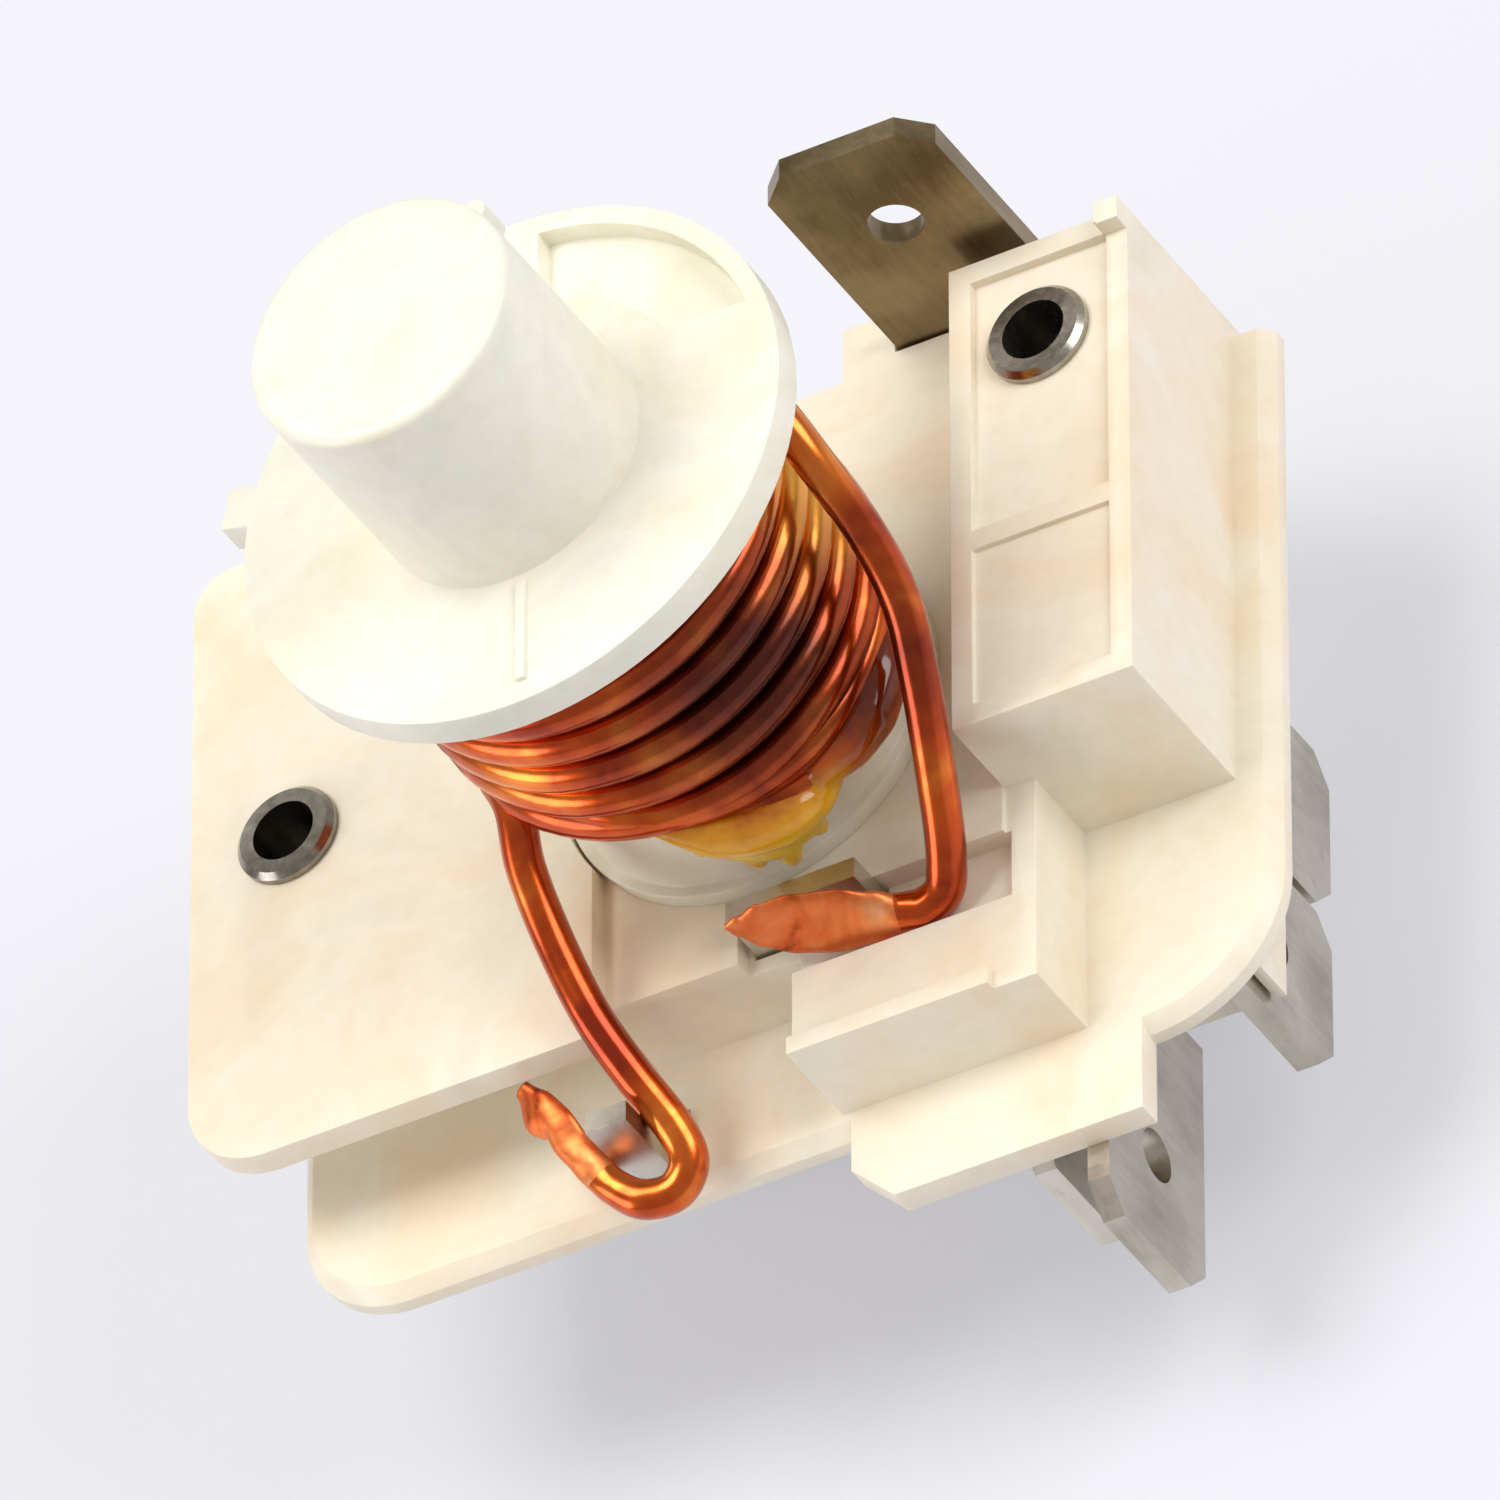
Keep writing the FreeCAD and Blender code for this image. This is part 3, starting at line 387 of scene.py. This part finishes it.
# %% Give the CAD nodes their finishes
finishes = {
    "upper_housing": ivory, "lower_housing": ivory, "coil_bobbin": natural, "coil_wire": copper,
    "varnish_bead": varnish, "plunger": iron, "push_rod": phenolic, "spring_collar": spring_steel,
    "bridge_clip": spring_steel, "contact_bridge": bridge_brass, "contact_spring": spring_steel,
    "moving_contact_left": silver, "moving_contact_right": silver, "fixed_contact_left": silver,
    "fixed_contact_right": silver, "line_terminal": tinned, "main_terminal": tinned,
    "capacitor_terminal": tarnished, "start_terminal": tinned, "neutral_terminal": tinned,
    "main_pin_sleeve": tinned, "start_pin_sleeve": tinned,
    "rivet_left": nickel, "rivet_right": nickel,
}
for name, node in nodes.items():
    node.data.materials.clear()
    node.data.materials.append(finishes[name])
print("finished nodes:", len(finishes))


# %% [markdown]
# Every new piece starts in the same way, as an object that is made from a mesh and linked to the
# scene. Where modifiers shape it, their result is kept as a plain mesh and they go. So each of
# these steps gets a small function, and a third one gives a piece its material.

# %% Helpers for new pieces
def placed(name, data):
    """A new object at the origin, linked to the scene."""
    thing = bpy.data.objects.new(name, data)
    bpy.context.scene.collection.objects.link(thing)
    return thing


def made_plain(piece):
    """Keeps what the modifiers make of a piece as its mesh, and removes them."""
    view = bpy.context.evaluated_depsgraph_get()
    mesh = bpy.data.meshes.new_from_object(piece.evaluated_get(view))
    piece.modifiers.clear()
    piece.data = mesh


def painted(piece, material):
    """Gives a piece one material and smooth shading."""
    piece.data.materials.clear()
    piece.data.materials.append(material)
    piece.data.shade_smooth()


print("piece helpers ready")


# %% [markdown]
# No moulding has knife edges: the tool's corners are rounded by some tenths of a millimetre, and
# these small rounds catch the light along every rib. A copy of the CAD mesh gets them with a
# Bevel modifier. The copy's loose triangles are merged first and its flat faces are joined, so
# that the modifier finds only the real edges.

# %% Soft edges for the moulded pieces
SAME_POINT = 2e-6
FLAT_WITHIN = math.radians(1.5)
EDGE_FROM = math.radians(28)
SHARP_FROM = math.radians(40)


def softened(node_name, piece_name, width_mm, segments, material):
    """Copies a CAD node, rounds its edges and lets the copy stand for the node."""
    source = nodes[node_name]
    mesh = source.data.copy()
    work = bmesh.new()
    work.from_mesh(mesh)
    bmesh.ops.remove_doubles(work, verts=work.verts, dist=SAME_POINT)
    bmesh.ops.dissolve_limit(work, angle_limit=FLAT_WITHIN, verts=work.verts, edges=work.edges)
    work.to_mesh(mesh)
    work.free()
    piece = placed(piece_name, mesh)
    rounding = piece.modifiers.new("rounded edges", "BEVEL")
    rounding.width = width_mm * MM
    rounding.segments = segments
    rounding.limit_method = "ANGLE"
    rounding.angle_limit = EDGE_FROM
    rounding.use_clamp_overlap = True
    made_plain(piece)
    painted(piece, material)
    piece.data.set_sharp_from_angle(angle=SHARP_FROM)
    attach(piece, source["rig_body"])
    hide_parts(node_name)
    print(piece_name, "faces:", len(piece.data.polygons))


softened("upper_housing", "upper_moulding", 0.22, 3, ivory)
softened("lower_housing", "lower_moulding", 0.2, 2, ivory)
softened("coil_bobbin", "bobbin_moulding", 0.22, 3, natural)

# %% [markdown]
# The winding follows a rule: a helix that goes down one pitch each turn. Geometry Nodes draw it
# with a Spiral curve. The lower turns sag on the right, where nothing holds them up, so they are
# moved down there, the lowest the most. A hand or a simple machine wound the real one, so a slow
# noise moves the turns a few tenths of a millimetre, and the wire then gets its round section
# with Curve to Mesh.

# %% Sizes of the winding
WIRE = 0.675
TURN_RADIUS = 7.275
PITCH = 1.42
WHOLE_TURNS = 5
UPPER_DEGREES = 38.0
LOWER_DEGREES = 212.0
SAG_DEGREES = -39.0
FLANGE_UNDERSIDE = 13.8
GAP_UNDER_FLANGE = 0.15
TURNS = WHOLE_TURNS + (LOWER_DEGREES - UPPER_DEGREES) / 360
TOP = FLANGE_UNDERSIDE - GAP_UNDER_FLANGE - WIRE
BOTTOM = TOP - TURNS * PITCH
print("turns:", round(TURNS, 3), "winding from", round(BOTTOM, 2), "to", round(TOP, 2), "mm")


# %% Geometry tree of the winding
def make_winding_tree():
    tree = bpy.data.node_groups.new("winding", "GeometryNodeTree")
    tree.interface.new_socket("Geometry", in_out="OUTPUT", socket_type="NodeSocketGeometry")
    for name, value in (("Turns", TURNS), ("Turn radius", TURN_RADIUS * MM),
                        ("Height", (TOP - BOTTOM) * MM), ("Wire radius", WIRE * MM),
                        ("Start angle", math.radians(LOWER_DEGREES)), ("Sag", 1.1 * MM),
                        ("Looseness", 0.24 * MM), ("Seed", 4.0)):
        socket = tree.interface.new_socket(name, in_out="INPUT", socket_type="NodeSocketFloat")
        socket.default_value = value
    given = add(tree, "NodeGroupInput").outputs
    result = add(tree, "NodeGroupOutput")

    # A regular helix, turned so that it starts where the lower lead leaves it.
    spiral = add(tree, "GeometryNodeCurveSpiral", values={"Resolution": 64, "Reverse": True},
                 links={"Rotations": given["Turns"], "Height": given["Height"],
                        "Start Radius": given["Turn radius"], "End Radius": given["Turn radius"]})
    start_turn = add(tree, "ShaderNodeCombineXYZ", links={"Z": given["Start angle"]})
    regular = add(tree, "GeometryNodeTransform",
                  links={"Geometry": spiral.outputs["Curve"],
                         "Rotation": start_turn.outputs["Vector"]})
    where = add(tree, "GeometryNodeInputPosition").outputs["Position"]
    along = add(tree, "GeometryNodeSplineParameter").outputs["Factor"]

    # The sag grows towards one side and towards the lower end.
    sag_angle = math.radians(SAG_DEGREES)
    sag_way = (math.cos(sag_angle), math.sin(sag_angle), 0.0)
    out_there = add(tree, "ShaderNodeVectorMath", {"operation": "DOT_PRODUCT"}, {1: sag_way},
                    {0: where})
    share = add(tree, "ShaderNodeMath", {"operation": "DIVIDE", "use_clamp": True},
                links={0: out_there.outputs["Value"], 1: given["Turn radius"]})
    lowness = add(tree, "ShaderNodeMath", {"operation": "SUBTRACT"}, {0: 1.0}, {1: along})
    weight = add(tree, "ShaderNodeMath", {"operation": "MULTIPLY"},
                 links={0: share.outputs["Value"], 1: lowness.outputs["Value"]})
    sag = add(tree, "ShaderNodeMath", {"operation": "MULTIPLY"},
              links={0: weight.outputs["Value"], 1: given["Sag"]})
    down = add(tree, "ShaderNodeCombineXYZ", links={"Z": sag.outputs["Value"]})

    # The looseness is a noise that fades at both ends, where the leads hold the wire.
    wander = add(tree, "ShaderNodeTexNoise", {"noise_dimensions": "4D"},
                 {"Scale": 190.0, "Detail": 1.0}, {"Vector": where, "W": given["Seed"]})
    centred = add(tree, "ShaderNodeVectorMath", {"operation": "SUBTRACT"}, {1: (0.5, 0.5, 0.5)},
                  {0: wander.outputs["Color"]})
    from_ends = add(tree, "ShaderNodeMath", {"operation": "PINGPONG"}, {1: 0.5}, {0: along})
    fade = add(tree, "ShaderNodeMapRange", values={"From Max": 0.05},
               links={"Value": from_ends.outputs["Value"]})
    held = add(tree, "ShaderNodeMath", {"operation": "MULTIPLY"},
               links={0: fade.outputs["Result"], 1: given["Looseness"]})
    moved = add(tree, "ShaderNodeVectorMath", {"operation": "SCALE"},
                links={0: centred.outputs["Vector"], "Scale": held.outputs["Value"]})
    offset = add(tree, "ShaderNodeVectorMath", {"operation": "SUBTRACT"},
                 links={0: moved.outputs["Vector"], 1: down.outputs["Vector"]})
    loose = add(tree, "GeometryNodeSetPosition",
                links={"Geometry": regular.outputs["Geometry"],
                       "Offset": offset.outputs["Vector"]})

    # The wire's round section follows the curve.
    section = add(tree, "GeometryNodeCurvePrimitiveCircle", values={"Resolution": 20},
                  links={"Radius": given["Wire radius"]})
    wire = add(tree, "GeometryNodeCurveToMesh", values={"Fill Caps": True},
               links={"Curve": loose.outputs["Geometry"],
                      "Profile Curve": section.outputs["Curve"]})
    real = add(tree, "GeometryNodeRealizeInstances", links={"Geometry": wire.outputs["Mesh"]})
    enamelled = add(tree, "GeometryNodeSetMaterial", values={"Material": copper},
                    links={"Geometry": real.outputs["Geometry"]})
    tree.links.new(enamelled.outputs["Geometry"], result.inputs["Geometry"])
    return tree


winding_tree = make_winding_tree()
print("winding tree nodes:", len(winding_tree.nodes))


# %% Turn the geometry tree into a plain piece
winding = placed("winding", bpy.data.meshes.new("winding"))
winding.modifiers.new("winding", "NODES").node_group = winding_tree
made_plain(winding)
winding.data.transform(Matrix.Translation(at(AXIS_X, AXIS_Y, BOTTOM)))
winding.data.shade_smooth()
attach(winding, "housing")
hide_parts("coil_wire")
print("winding vertices:", len(winding.data.vertices))

# %% [markdown]
# The two leads don't follow a rule. Each is bent by hand, so each gets a list of points along its
# course, a smooth line through them, and a section that changes on the way: round on the wire,
# wide and thin where it was pressed for the weld. Rings of points along the line make the skin.
# Past a given point the skin gets small dents, and a little further the enamel ends. The dents
# come from a noise, and its seed is fixed, so that they are the same in each run.

# %% A wire with a changing section
STEPS = 10
SIDES = 20
DENTS_PER_METRE = 900.0
DENT_SEED = 4
SCRAPED_AFTER = 0.5
noise.seed_set(DENT_SEED)


def smooth_line(points):
    """Points on a smooth line through the given points, with the place along the list."""
    line = []
    for index in range(len(points) - 1):
        before = points[max(index - 1, 0)]
        here, after = points[index], points[index + 1]
        beyond = points[min(index + 2, len(points) - 1)]
        for step in range(STEPS):
            t = step / STEPS
            spot = 0.5 * (2 * here + (after - before) * t
                          + (2 * before - 5 * here + 4 * after - beyond) * t * t
                          + (3 * here - before - 3 * after + beyond) * t ** 3)
            line.append((spot, index + t))
    line.append((points[-1], len(points) - 1.0))
    return line


def bent_wire(name, course, wide, rough_from=math.inf, rough_mm=0.0):
    """Sweeps a section along (x, y, z) or, where pressed, (x, y, z, half width, half thickness)."""
    course = [(*row, WIRE, WIRE)[:5] for row in course]
    line = smooth_line([at(*row[:3]) for row in course])
    work = bmesh.new()
    rings = []
    for number, (spot, where) in enumerate(line):
        ahead = line[min(number + 1, len(line) - 1)][0] - line[max(number - 1, 0)][0]
        ahead.normalize()
        side = (wide - ahead * wide.dot(ahead)).normalized()
        up = ahead.cross(side)
        low = min(int(where), len(course) - 2)
        t = where - low
        t = t * t * (3 - 2 * t)
        half_width = (course[low][3] * (1 - t) + course[low + 1][3] * t) * MM
        half_thick = (course[low][4] * (1 - t) + course[low + 1][4] * t) * MM
        ring = []
        for corner in range(SIDES):
            turn = 2 * math.pi * corner / SIDES
            skin = (spot + side * (half_width * math.cos(turn))
                    + up * (half_thick * math.sin(turn)))
            if where > rough_from:
                dent = min(where - rough_from, 1.0) * rough_mm * MM
                skin += noise.noise_vector(skin * DENTS_PER_METRE) * dent
            ring.append(work.verts.new(skin))
        rings.append(ring)
    for ring, following, (_, where) in zip(rings, rings[1:], line):
        for corner in range(SIDES):
            beside = (corner + 1) % SIDES
            face = work.faces.new((ring[corner], ring[beside],
                                   following[beside], following[corner]))
            face.material_index = 1 if where > rough_from + SCRAPED_AFTER else 0
            face.smooth = True
    for ring in (rings[0], rings[-1]):
        work.faces.new(ring).material_index = 1
    bmesh.ops.recalc_face_normals(work, faces=work.faces)
    mesh = bpy.data.meshes.new(name)
    work.to_mesh(mesh)
    work.free()
    mesh.materials.append(copper)
    mesh.materials.append(scraped)
    piece = placed(name, mesh)
    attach(piece, "housing")
    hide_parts("coil_wire")
    print(name, "faces:", len(mesh.polygons))


# %% [markdown]
# The upper lead leaves the top turn along its tangent, drops past the tower and turns to the left
# in the trough of the platform, where its end is pressed flat like a leaf against the lug. The
# lower lead comes down over the deck's edge, hooks round the lug and ends in a ragged flat beside
# it. The section's first axis stays square to each lead's main bend, so that it never turns over.

# %% The two leads
upper_course = [
    around(UPPER_DEGREES, TURN_RADIUS, TOP), (27.9, 13.95, 13.0), (28.85, 12.4, 13.0),
    (29.75, 10.9, 12.5), (30.3, 9.65, 11.1), (30.7, 8.45, 8.8), (30.75, 7.1, 6.7),
    (30.25, 5.45, 4.6), (29.65, 4.1, 2.8), (28.95, 2.8, 0.9), (28.5, 2.05, -0.1),
    (28.05, 1.5, -0.75), (27.3, 1.22, -0.95), (26.5, 1.2, -0.85, 0.72, 0.58),
    (25.6, 1.2, -0.6, 1.05, 0.34), (24.4, 1.25, -0.2, 1.3, 0.22), (23.1, 1.34, 0.25, 1.3, 0.2),
    (22.0, 1.44, 0.62, 0.95, 0.18), (21.3, 1.5, 0.86, 0.45, 0.14), (20.9, 1.54, 1.0, 0.12, 0.1),
]
lower_course = [
    around(LOWER_DEGREES, TURN_RADIUS, BOTTOM), (15.25, 6.0, 4.9), (15.0, 4.5, 3.75),
    (15.15, 2.5, 2.2), (15.7, 0.2, 0.75), (16.45, -1.6, -0.65), (17.25, -3.2, -1.95),
    (17.4, -4.2, -2.65), (16.75, -4.95, -2.95), (15.7, -5.05, -2.75),
    (14.85, -4.5, -2.4, 0.58, 0.62), (14.2, -3.65, -1.95, 0.48, 0.6),
    (13.55, -2.6, -1.45, 0.36, 0.66), (12.8, -1.5, -0.95, 0.28, 0.7),
    (12.2, -0.7, -0.6, 0.2, 0.35),
]
UPPER_WIDE = Vector((0.0, 0.2, 0.98))
LOWER_WIDE = Vector((0.0, -0.616, 0.788))
bent_wire("upper_lead", upper_course, UPPER_WIDE, rough_from=12.6, rough_mm=0.07)
bent_wire("lower_lead", lower_course, LOWER_WIDE, rough_from=10.0, rough_mm=0.2)


# %% [markdown]
# On the right the last two turns slipped off the stack before the varnish set, and now hang below
# it. Each is a slack strand that leaves the stack at the front, sags at the right and comes up
# under the stack again at the back.

# %% Slack strands at the right of the winding
def slack_strand(name, stations):
    """A wire round the coil's axis, from stations of (degrees, radius, height)."""
    bent_wire(name, [around(*station) for station in stations], Vector((0.0, 0.0, 1.0)))


slack_strand("slack_strand_high", [
    (-118, 6.95, 5.75), (-102, 7.2, 5.1), (-84, 7.3, 4.55), (-64, 7.35, 4.1), (-42, 7.4, 3.85),
    (-18, 7.35, 3.95), (8, 7.3, 4.35), (36, 7.2, 4.9), (60, 7.05, 5.4), (86, 6.9, 5.85)])
slack_strand("slack_strand_low", [
    (-88, 7.1, 4.1), (-74, 7.28, 3.4), (-58, 7.35, 2.8), (-40, 7.35, 2.55),
    (-18, 7.2, 2.85), (6, 7.12, 3.4), (28, 7.05, 4.1), (54, 6.9, 5.0)])

# %% [markdown]
# Varnish that is poured over a coil creeps along the lowest turn and sets in drops where it runs
# off. Each run of varnish is a short list of places. Balls that grow and shrink from one place to
# the next are set closely along it, and all of them are joined to one skin with a voxel remesh
# and smoothed, so that they flow into each other as a liquid does.

# %% Varnish on the lowest turn
VARNISH_RUNS = [
    [(-98, 7.35, 4.7, 0.3), (-91, 7.5, 4.1, 0.55), (-84, 7.6, 3.4, 0.85), (-76, 7.65, 2.9, 1.0),
     (-68, 7.65, 2.5, 1.0), (-60, 7.6, 2.3, 0.85), (-53, 7.5, 2.4, 0.6)],
    [(-85, 7.5, 2.7, 0.5), (-79, 7.55, 2.1, 0.6), (-74, 7.6, 1.7, 0.62), (-68, 7.5, 1.4, 0.5),
     (-63, 7.45, 1.4, 0.45)],
    [(-53, 7.6, 2.9, 0.7), (-44, 7.75, 2.9, 0.95), (-35, 7.8, 3.0, 1.05), (-26, 7.75, 3.2, 0.95),
     (-17, 7.55, 3.5, 0.7), (-8, 7.4, 3.9, 0.4)],
    [(-80, 7.55, 2.0, 0.5), (-80.5, 7.5, 1.4, 0.36), (-80, 7.45, 1.15, 0.3)],
    [(-72, 7.6, 1.5, 0.55), (-72.5, 7.55, 0.95, 0.46), (-73, 7.5, 0.7, 0.4)],
    [(-64, 7.45, 1.5, 0.45), (-63, 7.4, 0.95, 0.36)],
    [(-89, 7.5, 3.3, 0.45), (-90, 7.45, 2.7, 0.3)],
]
BALLS_PER_STEP = 7
VOXEL = 0.1 * MM


def make_drips():
    work = bmesh.new()
    for run in VARNISH_RUNS:
        for here, after in zip(run, run[1:]):
            for step in range(BALLS_PER_STEP + 1):
                t = step / BALLS_PER_STEP
                *station, size = (p * (1 - t) + q * t for p, q in zip(here, after))
                spot = Matrix.Translation(at(*around(*station)))
                bmesh.ops.create_icosphere(work, subdivisions=2, radius=size * MM, matrix=spot)
    mesh = bpy.data.meshes.new("varnish_drips")
    work.to_mesh(mesh)
    work.free()
    piece = placed("varnish_drips", mesh)
    skin = piece.modifiers.new("one skin", "REMESH")
    skin.mode = "VOXEL"
    skin.voxel_size = VOXEL
    flow = piece.modifiers.new("flow", "SMOOTH")
    flow.factor = 0.6
    flow.iterations = 8
    made_plain(piece)
    painted(piece, varnish)
    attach(piece, "housing")
    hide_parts("varnish_bead")
    print("varnish faces:", len(piece.data.polygons))


make_drips()

# %% [markdown]
# A pale table top carries the relay. It isn't part of the object. Its white lacquer keeps the
# relay's soft shadow. Seen by the camera, in a reflection or through the varnish it also glows a
# little, so that it looks almost white. The glow adds no diffuse light to the relay.

# %% Table top
TABLE_LEVEL = -0.85 * MM
TABLE_HALF = 3
TABLE_GLOW = 0.4


def make_table():
    work = bmesh.new()
    corners = ((-1, -1), (1, -1), (1, 1), (-1, 1))
    work.faces.new([work.verts.new((x * TABLE_HALF, y * TABLE_HALF, TABLE_LEVEL))
                    for x, y in corners])
    mesh = bpy.data.meshes.new("table_top")
    work.to_mesh(mesh)
    work.free()
    table = placed("table_top", mesh)
    material, tree, shader, _ = new_material("white_table_lacquer")
    feed(tree, shader, {"Base Color": colour("#D8DAE5"), "Roughness": 0.35})
    rays = add(tree, "ShaderNodeLightPath").outputs
    glow = add(tree, "ShaderNodeEmission", values={"Color": colour("#F4F4F9"), "Strength": 1.0})
    seen = add(tree, "ShaderNodeMath", {"operation": "ADD"},
               links={0: rays["Is Camera Ray"], 1: rays["Is Glossy Ray"]})
    shown = add(tree, "ShaderNodeMath", {"operation": "ADD", "use_clamp": True},
                links={0: seen.outputs["Value"], 1: rays["Is Transmission Ray"]})
    share = add(tree, "ShaderNodeMapRange", values={"To Min": 0.0, "To Max": TABLE_GLOW},
                links={"Value": shown.outputs["Value"]})
    blend = add(tree, "ShaderNodeMixShader",
                links={0: share.outputs["Result"], 1: shader.outputs["BSDF"],
                       2: glow.outputs["Emission"]})
    tree.links.new(blend.outputs["Shader"], tree.nodes["Material Output"].inputs["Surface"])
    mesh.materials.append(material)
    return table


table_top = make_table()
print("table top at", table_top.data.vertices[0].co.z)


# %% [markdown]
# The light is a large soft box over the coil, a little to the left. A wide one at the front left
# lights the walls that face it, and a wide one at the right draws the edges and the wire's
# highlights. A pale warm world fills the shadows.

# %% Lamps and world
def lamp(name, spot, size, power, tint):
    """A round soft box at a place in metres that faces the model's origin."""
    data = bpy.data.lights.new(name, "AREA")
    data.shape = "DISK"
    data.size = size
    data.energy = power
    data.color = colour(tint)[:3]
    light = placed(name, data)
    light.location = spot
    light.rotation_euler = (Vector(spot) * -1).to_track_quat("-Z", "Y").to_euler()


lamp("key", (-0.16, 0.08, 0.62), 0.42, 2.55, "#FFFDF8")
lamp("fill", (-0.78, -0.45, 0.32), 0.55, 2.7, "#FAFAFF")
lamp("edge", (0.55, 0.02, 0.42), 0.45, 2.4, "#FFFFFF")
world = bpy.data.worlds.new("studio")
world.use_nodes = True
feed(world.node_tree, world.node_tree.nodes["Background"],
     {"Color": colour("#F4EDE6"), "Strength": 0.5})
bpy.context.scene.world = world
bpy.context.scene.view_settings.view_transform = "Standard"
print("lamps:", len(bpy.data.lights))

# %% [markdown]
# The camera looks from a metre away along the line of sight of the picture, with a long lens, and
# is rolled so that the relay leans as it does there.

# %% Camera
SIGHT = Vector((0.39, -0.625, 0.675)).normalized()
RIGHT = Vector((0.8645, 0.0, -0.503))
RIGHT = (RIGHT - SIGHT * RIGHT.dot(SIGHT)).normalized()
UP = SIGHT.cross(RIGHT)
middle = at(22.4, 7.6, 2.0)
camera_data = bpy.data.cameras.new("camera")
camera_data.lens = 740
camera_data.clip_end = 20
camera = placed("camera", camera_data)
camera.matrix_world = Matrix((
    (RIGHT.x, UP.x, SIGHT.x, middle.x + SIGHT.x),
    (RIGHT.y, UP.y, SIGHT.y, middle.y + SIGHT.y),
    (RIGHT.z, UP.z, SIGHT.z, middle.z + SIGHT.z),
    (0, 0, 0, 1),
))
bpy.context.scene.camera = camera
print("camera at", tuple(round(v, 3) for v in camera.location))
